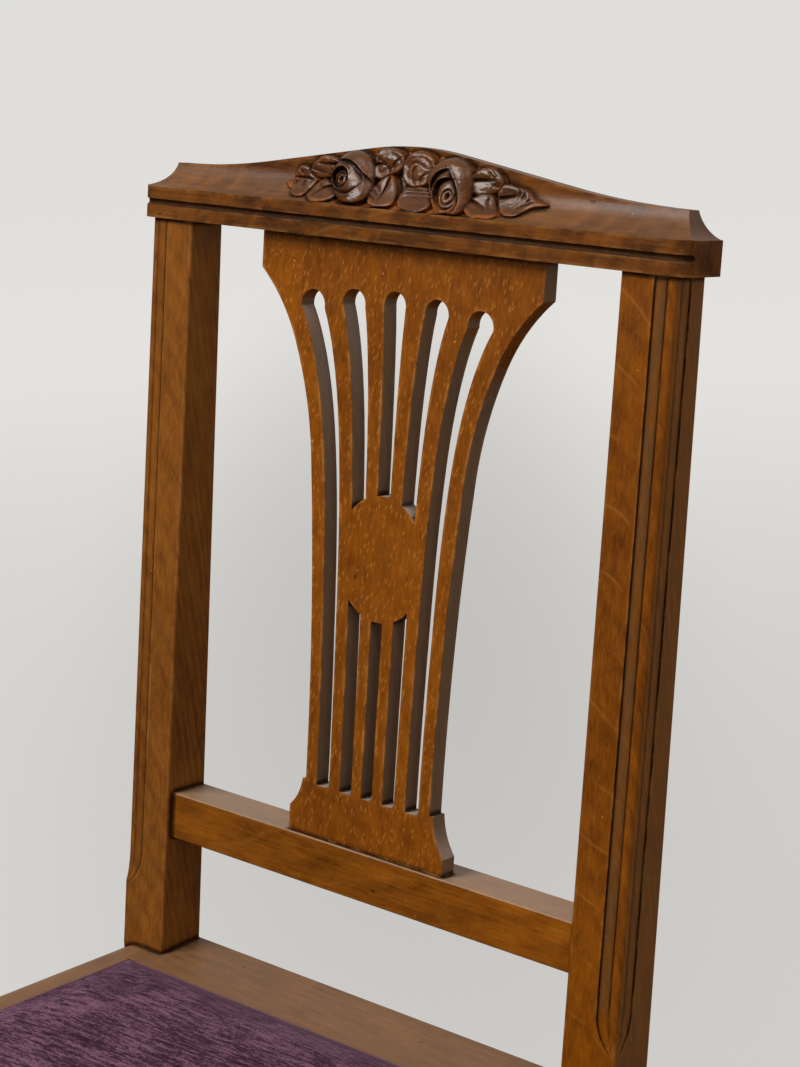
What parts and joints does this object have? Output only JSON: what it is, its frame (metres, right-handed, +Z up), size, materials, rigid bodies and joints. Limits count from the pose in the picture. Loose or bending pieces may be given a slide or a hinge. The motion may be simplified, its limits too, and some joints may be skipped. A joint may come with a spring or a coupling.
{
  "type": "open-back side chair with carved crest and upholstered seat",
  "caption": "Walnut-stained beech side chair with a raked open back, a pierced fan splat with an oval medallion, a rose-carved crest rail and a plum velvet seat edged with gimp braid.",
  "frame": {"origin": "On the floor, under the middle of the chair's outer box.", "axes": "+Z is up. +Y runs from the front of the seat to the back. +X runs across the seat to the right as seen from the front."},
  "size_m": [0.435, 0.442, 0.9498],
  "materials": {
    "beech_frame": "walnut-stained beech, shellac polish, worn at the arrises",
    "beech_carved": "darker red-brown stained beech, shellac polish, grime in the hollows",
    "beech_splat": "walnut-stained beech with light ray flecks, shellac polish",
    "raw_beech": "unfinished beech, sawn and dusty",
    "screw_steel": "dull bare steel",
    "blued_steel": "blued cut tacks",
    "jute_webbing": "woven jute",
    "hessian_cloth": "loose plain weave jute",
    "hair_stuffing": "curled hair and fibre",
    "calico_cloth": "unbleached cotton, plain weave",
    "plum_velvet": "plum velvet with a slubbed pile",
    "gimp_cloth": "mauve-grey woven braid"
  },
  "bodies": {
    "root": {"rear_leg_left": "beech_frame", "rear_leg_right": "beech_frame", "crest_rail": "beech_carved", "back_splat": "beech_splat", "lower_back_rail": "beech_frame", "seat_rail_front": "beech_frame", "seat_rail_rear": "beech_frame", "seat_rail_left": "beech_frame", "seat_rail_right": "beech_frame", "front_leg_left": "beech_frame", "front_leg_right": "beech_frame", "corner_block_front_left": "raw_beech", "corner_block_front_right": "raw_beech", "corner_block_rear_left": "raw_beech", "corner_block_rear_right": "raw_beech", "corner_block_screws": "screw_steel", "webbing_lengthwise": "jute_webbing", "webbing_crosswise": "jute_webbing", "webbing_tacks": "blued_steel", "hessian": "hessian_cloth", "seat_stuffing": "hair_stuffing", "calico_undercover": "calico_cloth", "velvet_cover": "plum_velvet", "gimp_braid": "gimp_cloth"}
  },
  "joints": []
}
